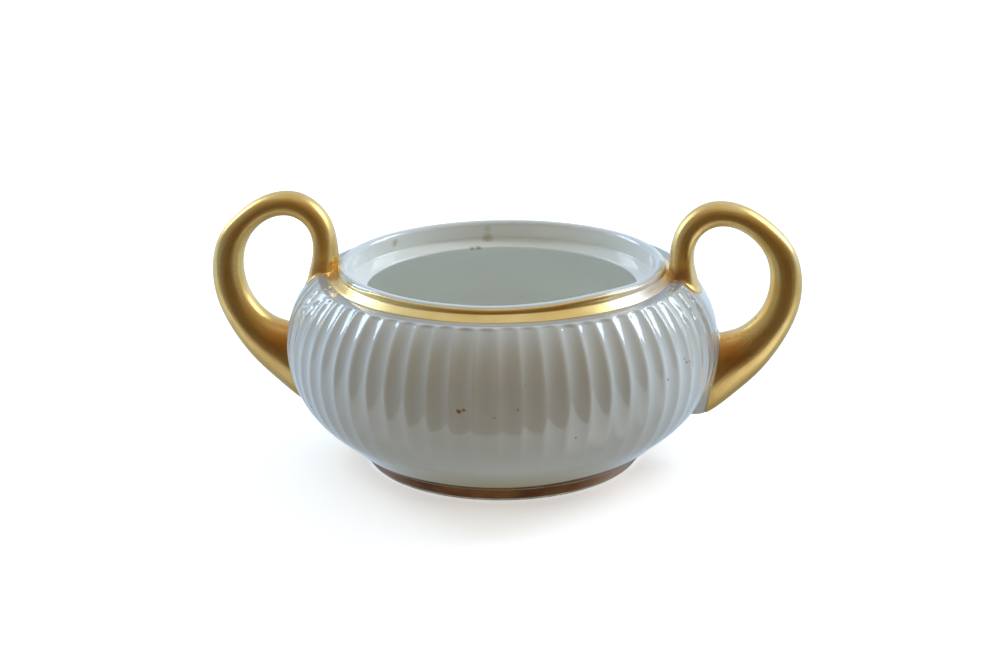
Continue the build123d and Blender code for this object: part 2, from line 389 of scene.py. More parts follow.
def outside_distance(r, z):
    """Distance outside the bowl's unfluted outside, below zero within it."""
    upper = np.hypot(r - UPPER_CENTRE, z - BELLY_Z) - UPPER_ARC
    lower = np.hypot(r - LOWER_CENTRE, z - BELLY_Z) - LOWER_ARC
    cone = (r - CONE_TOP_R) * math.cos(CONE_ANGLE) - (z - CONE_TOP_Z) * math.sin(CONE_ANGLE)
    belly = np.where(z >= BELLY_Z, upper, np.where(z >= CONE_TOP_Z, lower, cone))
    belly = np.maximum(belly, z - SHOULDER_Z)
    slope = np.array([NECK_Z - SHOULDER_Z, BAND_R - LIP_R])
    slope /= np.linalg.norm(slope)
    band = np.maximum((r - BAND_R) * slope[0] + (z - SHOULDER_Z) * slope[1], z - NECK_Z)
    band = np.maximum(band, r - BAND_R)
    side = r - LIP_R + LIP_ROUND
    above = z - LIP_Z + LIP_ROUND
    rim = np.hypot(np.maximum(side, 0), np.maximum(above, 0)) + np.minimum(np.maximum(side, above), 0)
    return np.minimum(belly, np.minimum(band, rim - LIP_ROUND))


# ================= the bowl =================
BAND_TURN = np.linspace(0, 2 * math.pi, 360, endpoint=False)  # angles of the gilded bands' points
FOOT_TURN = np.linspace(0, 2 * math.pi, 320, endpoint=False)  # and of the foot ring's


def rim_lift(angles, z):
    """The hand-finished lip is not quite level: how far its points are raised at this height."""
    rise = np.zeros_like(angles)
    for bearing, height, width in RIM_WAVES:
        off = (np.degrees(angles) - bearing + 180.0) % 360.0 - 180.0
        rise += height * np.exp(-((off / width) ** 2))
    return rise * smooth_step(SHOULDER_Z + 0.1, LIP_Z - 0.8, z)


def turned_ring(r, z, angles, lift=0.0, normal=(0.0, 0.0)):
    """A ring of points on the bowl, moved by lift along the normal and raised with the lip's waves."""
    reach = r + normal[0] * lift
    height = z + normal[1] * lift + rim_lift(angles, z)
    return np.column_stack((reach * np.cos(angles), reach * np.sin(angles), height))


def flute_angles():
    """Angles of the bowl's columns, closer together beside the ridges."""
    shares = np.add.outer(np.arange(FLUTES) + 0.5, FLUTE_COLUMNS).ravel()
    return shares * 2 * math.pi / FLUTES


def flute_depths(path, angles):
    """Depth of the grooves at each point of the outside path, for each column."""
    chance = random.Random(64)
    deeper = np.array([chance.uniform(0.9, 1.1) for _ in range(FLUTES)])
    shift = np.array([chance.uniform(-0.025, 0.025) for _ in range(FLUTES)])
    taller = np.array([chance.uniform(-0.25, 0.25) for _ in range(FLUTES)])
    share = angles * FLUTES / (2 * math.pi)
    number = np.floor(share + 1e-9).astype(int) % FLUTES
    across = share - np.floor(share + 1e-9) - 0.5

    length = path_length(path)
    radius, height = path[:, 0], path[:, 1]
    top_point = UPPER_CENTRE + UPPER_ARC * math.cos(math.radians(FLUTE_TOP_ANGLE))
    above_belly = height > BELLY_Z
    top_length = np.interp(-top_point, -radius[above_belly], length[above_belly])
    past = np.maximum(length[:, None] - top_length - taller[number][None, :], 0.0)
    inside = 1 - ((across + shift[number]) / FLUTE_HALF)[None, :] ** 2 - (past / FLUTE_ARCH) ** 2
    groove = 0.5 * (inside + np.sqrt(inside**2 + FLUTE_ROUND))
    # The round end drops steeply into the groove.
    groove = np.minimum(groove * (1 + FLUTE_END_DROP * smooth_step(0.0, FLUTE_ARCH, past)), 1.0)

    size = FLUTE_DEPTH * (radius / BELLY_R) ** 1.5 * smooth_step(*FLUTE_FADE_Z, height)
    size *= height < SHOULDER_Z + 0.01
    size *= radius > BAND_R
    depth = size[:, None] * groove * deeper[number][None, :]
    # The slip smeared round each upper handle root fills the flutes beside it.
    off_plane = np.abs(np.sin(angles))[None, :] * radius[:, None]
    near_root = np.hypot(off_plane, np.maximum(40.0 - height, 0)[:, None] * 1.2)
    return depth * (0.15 + 0.85 * smooth_step(5.0, 13.0, near_root))


# Distances between the rows of points: on the outside by place, and on the inside.
SHOULDER_ROWS_Z = 49.0  # the shoulder's closer rows begin here
NECK_ROW = 0.16
SHOULDER_ROW = 0.3
CORNER_ROW = 0.25
BELLY_ROW = 1.0
LEDGE_ROW = 0.25
INSIDE_ROW = 1.5


def row_distances(path):
    """Where the rows of the outside lie along its path: close together where the shape is busy."""
    length = path_length(path)
    fine = []
    place = 0.0
    while place < length[-1]:
        fine.append(place)
        height = np.interp(place, length, path[:, 1])
        radius = np.interp(place, length, path[:, 0])
        if height > SHOULDER_ROWS_Z and radius < BAND_R + 0.6:
            place += NECK_ROW
        elif height > SHOULDER_ROWS_Z:
            place += SHOULDER_ROW
        elif height < BASE_Z + 1.2 and radius > FOOT_TOP_R - 1:
            place += CORNER_ROW
        else:
            place += BELLY_ROW
    fine.append(length[-1])
    return np.array(fine)


def make_bowl(material):
    """The fluted bowl in one closed mesh, with fewer columns where it is smooth."""
    angles = flute_angles()
    path = outside_path()
    rows = at_distance(path, row_distances(path))
    normals = outward(rows)
    depths = flute_depths(rows, angles)
    swell = wobble(angles, 5, 0.05)
    rings = []
    grooves = []
    painted_shades = []
    for (r, z), normal, depth in zip(rows, normals, depths):
        step = 1 if r > BAND_R or z < BELLY_Z else 2
        turn = angles[::step]
        lift = (swell * smooth_step(4.0, 12.0, z) * (z < SHOULDER_Z) - depth)[::step]
        ring = turned_ring(r, z, turn, lift, normal)
        rings.append(ring)
        # Painted shade on the flat ring under the neck band: its glaze is painted darker there.
        on_shoulder = z > SHOULDER_Z - 1.0 and r > BAND_R
        darkened = 1.0 - smooth_step(PAINTED_SHADE_R, PAINTED_SHADE_R + PAINTED_SHADE_FADE, r) if on_shoulder else 0.0
        painted_shades.append(np.full(len(ring), darkened))
        grooves.append(depth[::step] / FLUTE_DEPTH)

    # The "inside" values say how much painted light the glaze gets: all of it in the cavity, part of it
    # in the neck.
    inside_painted_light = [np.zeros(len(ring)) for ring in rings]
    inner = inside_path()
    length = path_length(inner)
    places = [0.0]
    while places[-1] < length[-1] - 1.0:
        depth_in = np.interp(places[-1], length, inner[:, 1])
        radius_in = np.interp(places[-1], length, inner[:, 0])
        ledge = depth_in > THROAT_BASE_Z - 0.05 and radius_in < SEAT_R + LIP_ROUND + 0.1
        places.append(places[-1] + (LEDGE_ROW if ledge else INSIDE_ROW))
    places[-1] = length[-1]
    for place, (r, z) in zip(places, at_distance(inner, np.array(places))):
        ledge = z > THROAT_BASE_Z - 0.5 and r < SEAT_R + LIP_ROUND + 0.1
        turn = angles[:: 2 if ledge or z > LEDGE_BACK_Z - 0.5 else 4]
        if len(turn) > len(rings[-1]):
            turn = turn[:: len(turn) // len(rings[-1])]
        rings.append(turned_ring(r, z, turn))
        grooves.append(np.zeros(len(turn)))
        painted_shades.append(np.zeros(len(turn)))
        neck_painted_light = NECK_PAINTED_LIGHT * smooth_step(0.5, 2.5, place)
        inside_painted_light.append(np.full(len(turn), 1.0 if z < LEDGE_INNER_Z - 0.2 else neck_painted_light))

    # The underside, which rises a little towards its middle.
    for r, z, step in ((20.0, BASE_Z + 0.35, 2), (MIDDLE_R, BASE_Z + 0.5, 4)):
        fewer = angles[::step]
        rings.insert(0, lathe_rings([(r, z)], fewer)[0])
        grooves.insert(0, np.zeros(len(fewer)))
        painted_shades.insert(0, np.zeros(len(fewer)))
        inside_painted_light.insert(0, np.zeros(len(fewer)))
    bowl = ring_mesh("fluted_bowl", rings, cap_ends=True)
    add_values(bowl, "groove", np.concatenate(grooves + [np.zeros(2)]))
    add_values(bowl, "painted_shade", np.concatenate(painted_shades + [np.zeros(2)]))
    add_values(bowl, "inside", np.concatenate(inside_painted_light + [np.array([0.0, 1.0])]))
    return add_piece(bowl, material, "porcelain", "bowl_body")


def skin(name, path, low, high, material, slot, node):
    """A gilded band over part of a section path, between two uneven edges (distances along it)."""
    angles = BAND_TURN
    normals = outward(path)
    length = path_length(path)
    outer, inner = [], []
    for t in np.linspace(0.0, 1.0, 17):
        places = low + (high - low) * t
        r = np.interp(places, length, path[:, 0])
        z = np.interp(places, length, path[:, 1])
        normal = [np.interp(places, length, normals[:, k]) for k in range(2)]
        edge = min(t, 1 - t)
        proud = GILT * min(1.0, 0.25 + 6 * edge)
        for rings, lift in ((outer, proud), (inner, -GILT_UNDER)):
            rings.append(turned_ring(r, z, angles, lift, normal))
    band = ring_mesh(name, outer + inner[::-1], close=True)
    add_brush(band, np.vstack(outer + inner[::-1]) * (STROKE, STROKE, 1.0))
    return add_piece(band, material, slot, node)


def distance_at(path, test):
    """Distance along a path of its first point that passes a test."""
    return path_length(path)[np.argmax(test(path[:, 0], path[:, 1]))]


def make_neck_band(material):
    """The neck's gold, which spreads down beside the left root and is worn low in front of it."""
    path = outside_path()
    angles = BAND_TURN
    low = distance_at(path, lambda r, z: (r < BAND_R + 0.05) & (z > BELLY_Z))
    high = distance_at(path, lambda r, z: z > band_high[2] + BAND_ABOVE)
    from_left_root = np.abs(angles - math.pi) * BAND_R
    spread = 1.6 * (1 - smooth_step(5.0, 17.0, from_left_root))
    from_wear = np.abs(angles - math.radians(NECK_WEAR_BEARING))
    worn_low = NECK_WEAR * (1 - smooth_step(0.1, 0.32, from_wear))
    return skin(
        "neck_gold_band",
        path,
        low - spread + wobble(angles, 11, 0.06, (3, 7, 12, 19)),
        high - worn_low + wobble(angles, 12, 0.04, (4, 9, 15)),
        material,
        "neck_gold",
        "neck_gilding",
    )


def foot_section():
    """The foot ring's closed section, with rounded standing edge."""
    bend = 0.6
    return rounded(
        [
            (FOOT_INNER_TOP_R, BASE_Z, 0),
            (FOOT_INNER_BASE_R, 0, bend),
            (FOOT_BASE_R, 0, bend),
            (FOOT_TOP_R, BASE_Z, 0),
        ]
    )


def make_foot(material):
    """The standing ring."""
    foot = ring_mesh("foot_standing_ring", lathe_rings(foot_section(), FOOT_TURN), close=True)
    return add_piece(foot, material, "biscuit_foot", "foot_ring")


def make_foot_band(material):
    """The gold on the foot, which runs up a little over the joint on to the bowl."""
    foot = foot_section()
    outer_side = foot[foot[:, 0] > FOOT_BASE_R - 0.3]
    joint = [
        (FOOT_TOP_R, BASE_Z - 0.3, 0),
        (FOOT_TOP_R + 0.25, BASE_Z + 0.1, 0.2),
        (BASE_R + 0.25, BASE_Z + 0.35, 0.3),
        (CONE_TOP_R, CONE_TOP_Z, 0),
    ]
    path = np.vstack((outer_side[:-1], rounded(joint)))
    path = at_distance(path, np.arange(0, path_length(path)[-1], 0.1))
    angles = BAND_TURN
    low = distance_at(path, lambda r, z: z > foot_gilt_low[2])
    high = distance_at(path, lambda r, z: z > foot_gilt_high[2])
    # The brush went higher at the right.
    right_lift = FOOT_BAND_LIFT * smooth_step(0.3, 1.0, np.cos(angles - math.radians(-10.0)))
    return skin(
        "foot_gold_band",
        path,
        low + wobble(angles, 21, 0.05, (3, 8, 14)),
        high + FOOT_BAND_ABOVE + right_lift + wobble(angles, 22, 0.12, (2, 5, 9, 16)),
        material,
        "foot_gold",
        "foot_gilding",
    )


# ================= the handles =================
HANDLE_COLUMNS = 80  # points round a handle
HANDLE_DENSE = 900  # points along it while its ends are found
GOLD_ROWS = 210  # rings of the gold shell
CORE_ROWS = 120  # and of the porcelain under it
EGG_FROM, EGG_TO = 8.0, 40.0  # distances from the lower root over which the egg shape fades
HANDLE_LENGTH = 125.0
HANDLE_GIRTH = 5.0  # mean half-thickness
HANDLE_TURN = np.linspace(0, 2 * math.pi, HANDLE_COLUMNS, endpoint=False)


def risen(points, side):
    """Points moved up or down by the handle's rise, which grows up the loop."""
    points = np.array(points, float)
    share = np.clip((points[:, 1] - RISE_FROM_Z) / (RISE_FULL_Z - RISE_FROM_Z), 0, 1)
    points[:, 1] += HANDLE_RISE[side] * share
    return points


def handle_lines(side, grow):
    """Dense lines along one handle: an array of line by place by (x, y, z)."""
    inner = risen([station[0] for station in HANDLE_STATIONS], side)
    outer = risen([station[1] for station in HANDLE_STATIONS], side)
    width = np.array([[station[2]] for station in HANDLE_STATIONS])
    knots = path_length((inner + outer) / 2)
    where = np.linspace(0, knots[-1], HANDLE_DENSE)
    shape = natural_spline(knots, np.hstack((inner, outer, width)), where)
    middle = (shape[:, 0:2] + shape[:, 2:4]) / 2
    across = (shape[:, 2:4] - shape[:, 0:2]) / 2
    half = np.linalg.norm(across, axis=1)
    across /= half[:, None]
    turn = HANDLE_TURN
    # Slightly fuller than an ellipse, but egg-shaped towards the lower root, with its thin end down.
    fullness = 1 + 0.035 * np.sin(2 * turn) ** 2
    egg = 0.42 * (1 - smooth_step(EGG_FROM, EGG_TO, where))
    lines = np.empty((HANDLE_COLUMNS, HANDLE_DENSE, 3))
    for k, angle in enumerate(turn):
        reach = (half + grow) * math.cos(angle) * fullness[k]
        lines[k, :, 0] = side * (middle[:, 0] + across[:, 0] * reach)
        lines[k, :, 2] = middle[:, 1] + across[:, 1] * reach
        thin = 1 - egg * max(math.cos(angle), 0.0) ** 1.5
        lines[k, :, 1] = (shape[:, 4] / 2 * thin + grow) * math.sin(angle) * fullness[k]
    return lines


def bowl_distance(lines):
    """Each point's distance outside the bowl, below zero inside it."""
    return outside_distance(np.hypot(lines[..., 0], lines[..., 1]), lines[..., 2])


def flared(lines, extra=0.0):
    """The lines pushed outwards near the bowl, so that each root spreads on to it in a hollow curve."""
    radius = np.full(lines.shape[:2], LOWER_FLARE + extra)
    half = lines.shape[1] // 2
    radius[:, half:] = UPPER_FLARE + extra
    away = lines - lines.mean(axis=0)[None, :, :]
    away /= np.linalg.norm(away, axis=2)[:, :, None]
    share = np.clip(1 - bowl_distance(lines) / radius, 0, 1)
    push = radius * (1 - np.sqrt(1 - 0.999 * share**2))
    return lines + away * push[:, :, None]


def first_reach(distance, level, from_low_end):
    """The place on one line where it comes as near to the bowl as level, going towards one end."""
    half = len(distance) // 2
    if from_low_end:
        near = np.nonzero(distance[:half] < level)[0]
        return near[-1] if len(near) else 0
    near = np.nonzero(distance[half:] < level)[0]
    return half + near[0] if len(near) else len(distance) - 1


def line_points(lines, k, places):
    """Points of line k at fractional places."""
    index = np.arange(lines.shape[1])
    return np.column_stack([np.interp(places, index, lines[k, :, axis]) for axis in range(3)])


def cut_lines(lines, low_levels, high_level, rows):
    """Rings of the lines cut where each comes as near to the bowl as its levels at the two ends."""
    distance = bowl_distance(lines)
    ease = np.linspace(0, 1, rows)
    # More rows towards both roots.
    ease = ease - 0.11 * np.sin(2 * math.pi * ease)
    rings = np.empty((rows, lines.shape[0], 3))
    for k in range(lines.shape[0]):
        start = first_reach(distance[k], low_levels[k], True)
        end = first_reach(distance[k], high_level, False)
        rings[:, k] = line_points(lines, k, start + (end - start) * ease)
    return rings


def gold_edge():
    """How far from the bowl the gold of a lower root stops, for each line: most underneath."""
    ragged = wobble(HANDLE_TURN, 31, 0.05, (3, 5, 9))
    return SLIP_LINE + SLIP_LINE_UNDER * np.maximum(np.cos(HANDLE_TURN), 0) ** 1.5 + ragged


def make_handle(side, name, gold, porcelain):
    """One handle: its porcelain core and the gold shell over it."""
    outer_lines, inner_lines, core_lines = (
        flared(handle_lines(side, grow)) for grow in (GILT, -0.02, -0.1)
    )
    edge = gold_edge()
    outer = cut_lines(outer_lines, edge, ROOT_DEPTH, GOLD_ROWS)
    inner = cut_lines(inner_lines, edge, ROOT_DEPTH, GOLD_ROWS)
    gilding = ring_mesh(f"{name}_handle_gold", list(outer) + list(inner)[::-1], close=True)
    along = np.linspace(0, HANDLE_LENGTH * STROKE, len(outer))
    rows = np.concatenate((along, along[::-1]))
    brush = np.empty((len(rows), HANDLE_COLUMNS, 3))
    brush[..., 0] = rows[:, None] + 20.0 * side
    brush[..., 1] = HANDLE_GIRTH * np.cos(HANDLE_TURN)
    brush[..., 2] = HANDLE_GIRTH * np.sin(HANDLE_TURN)
    add_brush(gilding, brush)
    add_piece(gilding, gold, "handle_gold", f"{name}_handle_gilding")
    deep = np.full(HANDLE_COLUMNS, ROOT_DEPTH)
    core = cut_lines(core_lines, deep, ROOT_DEPTH, CORE_ROWS)
    handle = ring_mesh(f"{name}_handle_core", list(core), cap_ends=True)
    add_piece(handle, porcelain, "porcelain", f"{name}_handle")


def make_slip(side, name, root, material):
    """The collar of white slip round one handle root: in sight below the gold at the lower root."""
    lower = root == "lower"
    lines = flared(handle_lines(side, -0.02 if lower else -0.06), 0.3 if lower else -0.1)
    distance = bowl_distance(lines)
    top = gold_edge() + 0.15 if lower else np.full(HANDLE_COLUMNS, -0.3)
    rings = []
    for share in np.linspace(0, 1, 9):
        levels = -1.0 + (top + 1.0) * share
        places = [first_reach(distance[k], levels[k], lower) for k in range(HANDLE_COLUMNS)]
        rings.append(np.vstack([line_points(lines, k, [place]) for k, place in enumerate(places)]))
    centre = np.mean(rings[-1], axis=0)
    inner = [centre + (ring - centre) * 0.9 for ring in (rings[-1], rings[0])]
    collar = ring_mesh(f"{name}_{root}_slip_collar", rings + inner, close=True)
    # The rings at the collar's top, along the gold's edge, get painted shade.
    add_values(collar, "gold_edge_shade", np.repeat([0.0] * 7 + [0.35, 1.0, 1.0, 0.0], HANDLE_COLUMNS))
    add_piece(collar, material, "slip", f"{name}_{root}_slip_joint")


# ================= materials =================
# Small flaws in the glaze: place, radius and soft edge in millimetres, and colour.
FLAWS = [
    ((-2.5, -59.4, 33.5), 0.32, 0.35, (0.44, 0.24, 0.12)),
    ((-3.7, -59.4, 33.0), 0.36, 0.35, (0.40, 0.21, 0.10)),
    ((5.1, -59.3, 31.6), 0.22, 0.3, (0.22, 0.20, 0.17)),
    ((10.8, -58.5, 33.8), 0.25, 0.3, (0.32, 0.24, 0.14)),
    ((12.6, -57.0, 39.8), 0.20, 0.3, (0.36, 0.26, 0.14)),
    ((51.0, -29.9, 38.2), 0.22, 0.3, (0.50, 0.41, 0.24)),
    ((51.4, -29.3, 37.2), 0.24, 0.3, (0.50, 0.41, 0.24)),
    ((52.1, -28.4, 37.0), 0.24, 0.3, (0.50, 0.41, 0.24)),
    ((52.7, -27.4, 36.6), 0.24, 0.3, (0.50, 0.41, 0.24)),
    ((53.1, -26.8, 35.5), 0.22, 0.3, (0.50, 0.41, 0.24)),
    ((-9.4, 41.6, 53.4), 0.2, 1.4, (0.66, 0.64, 0.57)),
    ((-9.1, 40.6, 50.6), 0.5, 1.6, (0.62, 0.60, 0.48)),
    ((-11.2, 35.6, 48.7), 0.4, 0.9, (0.40, 0.43, 0.33)),
    ((-13.2, 34.9, 48.7), 0.2, 0.9, (0.48, 0.50, 0.41)),
    ((-34.4, 24.3, 53.0), 0.3, 1.1, (0.58, 0.52, 0.40)),
    ((-38.0, -24.2, 54.4), 0.3, 0.4, (0.13, 0.12, 0.12)),
]
# Where brushed slip beside the upper roots leaves the glaze lumpy.
SMEARS = [(-47.5, -22.0, 50.0), (50.5, -14.0, 50.0)]
# Stained places in the gold of the handles: copper near the roots, and dark pits.
HANDLE_STAINS = [
    ((48.8, -7.0, 53.0), 1.0, 3.5, (0.36, 0.19, 0.07)),
    ((-49.5, -7.0, 53.0), 0.5, 3.0, (0.52, 0.30, 0.10)),
    ((-62.5, -5.5, 32.5), 1.5, 6.0, (0.78, 0.40, 0.11)),
    ((62.6, -5.5, 31.5), 1.5, 6.0, (0.80, 0.38, 0.10)),
    ((59.2, -5.4, 35.9), 0.35, 0.6, (0.05, 0.045, 0.04)),
    ((60.4, -5.4, 35.2), 0.2, 0.5, (0.10, 0.07, 0.04)),
    ((62.2, -5.0, 35.8), 0.15, 0.4, (0.10, 0.07, 0.04)),
    ((75.1, -4.4, 43.0), 0.1, 0.4, (0.14, 0.10, 0.05)),
]
GOLD_METAL = 0.88  # worn gilding lets a little of the white show through
# Where the gold is rubbed through to pinkish white, on the neck beside the right handle.
NECK_RUBS = [((41.5, -18.5, 53.6), 5.0, 15.0, (0.86, 0.76, 0.64))]
# And to a reddish ground at the front right of the foot.
FOOT_RUBS = [((33.0, -23.0, 3.2), 2.0, 12.0, (0.46, 0.26, 0.13))]


def node_maker(tree):
    """A function that adds a node to this tree, with its inputs given as values or as sockets."""

    def node(kind, inputs=None, **settings):
        """Adds one node. Settings are its own properties."""
        made = tree.nodes.new(kind)
        for key, value in settings.items():
            setattr(made, key, value)
        for key, value in (inputs or {}).items():
            if isinstance(value, bpy.types.NodeSocket):
                tree.links.new(value, made.inputs[key])
            else:
                made.inputs[key].default_value = value
        return made

    return node


def new_material(name):
    """A material with its node tree, its Principled shader and its node function."""
    material = bpy.data.materials.new(name)
    material.use_nodes = True
    tree = material.node_tree
    return material, tree, tree.nodes["Principled BSDF"], node_maker(tree)


def ramp(node, source, stops):
    """A colour ramp over a value. Its stops are (position, colour)."""
    made = node("ShaderNodeValToRGB", {"Fac": source})
    elements = made.color_ramp.elements
    while len(elements) < len(stops):
        elements.new(0.5)
    for element, (position, colour) in zip(elements, stops):
        element.position = position
        element.color = (*colour, 1.0)
    return made.outputs["Color"]


def mix(node, amount, first, second):
    """Mixes two colours by an amount."""
    made = node("ShaderNodeMix", {"Factor": amount}, data_type="RGBA")
    tree = made.id_data
    for socket, value in ((made.inputs[6], first), (made.inputs[7], second)):
        if isinstance(value, bpy.types.NodeSocket):
            tree.links.new(value, socket)
        else:
            socket.default_value = (*value, 1.0)
    return made.outputs[2]


def object_place(node):
    """The place in the object, in metres."""
    return node("ShaderNodeTexCoord").outputs["Object"]


def upward(node, vector):
    """A vector's Z."""
    return node("ShaderNodeSeparateXYZ", {"Vector": vector}).outputs["Z"]


def stored(node, name):
    """The number that the mesh stores under this name."""
    return node("ShaderNodeAttribute", attribute_name=name).outputs["Fac"]


def noise(node, place, scale, detail):
    """Cloudy noise about a half."""
    made = node("ShaderNodeTexNoise", {"Vector": place, "Scale": scale, "Detail": detail})
    return made.outputs["Fac"]


def between(node, source, low, high, to_low=0.0, to_high=1.0):
    """A value moved from one range to another, and held inside it."""
    made = node(
        "ShaderNodeMapRange",
        {"Value": source, "From Min": low, "From Max": high, "To Min": to_low, "To Max": to_high},
    )
    return made.outputs["Result"]


def spot(node, place, centre, reach, soft):
    """1 within a ball round a centre and 0 outside it; its place and sizes are in millimetres."""
    middle = [MM * value for value in centre]
    away = node("ShaderNodeVectorMath", {0: place, 1: middle}, operation="DISTANCE").outputs["Value"]
    return between(node, away, MM * (reach + soft), MM * reach)


def ragged_place(node, place, size, scale):
    """Object coordinates shaken by up to half of size (mm) each way: spots get uneven edges."""
    shake = node("ShaderNodeTexNoise", {"Vector": place, "Scale": scale, "Detail": 3.0})
    centring = {0: shake.outputs["Color"], 1: (0.5, 0.5, 0.5)}
    centred = node("ShaderNodeVectorMath", centring, operation="SUBTRACT").outputs[0]
    scaling = {0: centred, 1: (MM * size,) * 3, 2: place}
    return node("ShaderNodeVectorMath", scaling, operation="MULTIPLY_ADD").outputs[0]


def porcelain_material():
    """White glaze, greyer in the grooves, with painted shade under the neck band, near the foot and
    along the gold's edge, painted light inside, and the small flaws that it was fired with.
    """
    material, tree, shader, node = new_material("glazed_porcelain")
    place = object_place(node)
    height = upward(node, place)
    cloud = noise(node, place, 28.0, 3.0)
    white = ramp(node, cloud, [(0.3, (0.70, 0.735, 0.72)), (0.7, (0.76, 0.785, 0.775))])
    groove = stored(node, "groove")
    darkened = mix(node, between(node, groove, 0.0, 1.0, 0.0, 0.55), white, (0.62, 0.67, 0.65))
    # Painted shade on the ring under the neck band.
    painted_shade = stored(node, "painted_shade")
    darkened = mix(node, painted_shade, darkened, (0.375, 0.40, 0.42))
    # Towards the foot the glaze turns yellower, its own tone there, and darker, painted shade from the
    # table close below.
    low = between(node, height, 0.0145, 0.005)
    toned = mix(node, low, darkened, (0.53, 0.48, 0.29))
    # Inside the bowl the glaze is painted whiter: painted light for what comes through the thin wall
    # and bounces round inside. It has rare dark grains everywhere.
    inside = stored(node, "inside")
    toned = mix(node, inside, toned, (0.95, 0.975, 0.935))
    grains = node("ShaderNodeTexVoronoi", {"Vector": place, "Scale": 190.0, "Randomness": 1.0})
    rare = noise(node, place, 70.0, 1.0)
    close = between(node, grains.outputs["Distance"], 0.10, 0.04)
    seldom = between(node, rare, 0.63, 0.66)
    speck = node("ShaderNodeMath", {0: close, 1: seldom}, operation="MULTIPLY").outputs[0]
    colour = mix(node, speck, toned, (0.25, 0.20, 0.12))
    uneven = ragged_place(node, place, 1.2, 900.0)
    for centre, reach, soft, stain in FLAWS:
        colour = mix(node, spot(node, uneven, centre, reach, soft), colour, stain)
    # Painted shade: a dark blue-grey line on the slip collars along the gold's edge.
    gold_edge_shade = stored(node, "gold_edge_shade")
    colour = mix(node, between(node, gold_edge_shade, 0.3, 1.0, 0.0, 0.8), colour, (0.22, 0.25, 0.29))
    tree.links.new(colour, shader.inputs["Base Color"])
    shader.inputs["Roughness"].default_value = 0.035
    shader.inputs["IOR"].default_value = 1.6
    ripple = noise(node, place, 160.0, 1.0)
    bump = node("ShaderNodeBump", {"Height": ripple, "Strength": 0.10, "Distance": 0.0003})
    lumps = noise(node, place, 420.0, 1.0)
    for centre in SMEARS:
        beside = between(node, spot(node, place, centre, 3.0, 10.0), 0.0, 1.0, 0.0, 0.6)
        smeared = {"Height": lumps, "Strength": beside, "Distance": 0.0009}
        bump = node("ShaderNodeBump", {**smeared, "Normal": bump.outputs["Normal"]})
    tree.links.new(bump.outputs["Normal"], shader.inputs["Normal"])
    return material


def gold_material(name, light, deep, roughness, wear, stains=(), rubs=()):
    """Worn gilding: brushed, cloudy and darker in patches. wear is the share of dark rubbed places.

    A stain stays metal; a rub takes the metal away.
    """
    material, tree, shader, node = new_material(name)
    place = object_place(node)
    cloud = noise(node, place, 90.0, 6.0)
    base = ramp(node, cloud, [(0.32, deep), (0.62, light)])
    rub = noise(node, place, 420.0, 5.0)
    rubbed = between(node, rub, 0.70 - wear, 0.80 - wear)
    colour = mix(node, rubbed, base, tuple(0.45 * c for c in deep))
    uneven = ragged_place(node, place, 3.0, 260.0)
    for centre, reach, soft, stain in stains:
        colour = mix(node, spot(node, uneven, centre, reach, soft), colour, stain)
    shader.inputs["Metallic"].default_value = GOLD_METAL
    for centre, reach, soft, stain in rubs:
        bare = spot(node, uneven, centre, reach, soft)
        colour = mix(node, bare, colour, stain)
        tree.links.new(between(node, bare, 0.0, 1.0, GOLD_METAL, 0.15), shader.inputs["Metallic"])
    tree.links.new(colour, shader.inputs["Base Color"])
    brush = node("ShaderNodeAttribute", attribute_name="brush").outputs["Vector"]
    strokes = noise(node, brush, 1.1, 4.0)
    uneven_dull = node("ShaderNodeMath", {0: cloud, 1: strokes}, operation="ADD").outputs[0]
    dull = between(node, uneven_dull, 0.75, 1.25, roughness + 0.09, roughness - 0.07)
    tree.links.new(dull, shader.inputs["Roughness"])
    bump = node("ShaderNodeBump", {"Height": strokes, "Strength": 0.16, "Distance": 0.0003})
    dents = {"Height": cloud, "Strength": 0.12, "Distance": 0.0005, "Normal": bump.outputs["Normal"]}
    dented = node("ShaderNodeBump", dents)
    tree.links.new(dented.outputs["Normal"], shader.inputs["Normal"])
    return material


def biscuit_material():
    """The bare, slightly dirty clay of the foot ring."""
    material, tree, shader, node = new_material("unglazed_foot")
    place = object_place(node)
    cloud = noise(node, place, 300.0, 6.0)
    colour = ramp(node, cloud, [(0.35, (0.50, 0.46, 0.38)), (0.65, (0.72, 0.70, 0.64))])
    tree.links.new(colour, shader.inputs["Base Color"])
    shader.inputs["Roughness"].default_value = 0.7
    bump = node("ShaderNodeBump", {"Height": cloud, "Strength": 0.4, "Distance": 0.0002})
    tree.links.new(bump.outputs["Normal"], shader.inputs["Normal"])
    return material


# ================= stage, light and camera =================
BEHIND = 97.1  # degrees: the bearing of straight behind the bowl, as the camera sees it
FLOOR_HALF = 9.0  # half the floor's side, in metres, as are the next three
BACKDROP_R = 8.0
BACKDROP_UNDER = 0.5  # how far the backdrop reaches below the floor
BACKDROP_TOP = 8.0
TABLE_EDGE = (-0.07, -0.04)  # the table's edge in front lies between these heights of direction
TABLE_DROP = 1.38  # and lower towards the front, by this much of the square of how far in front
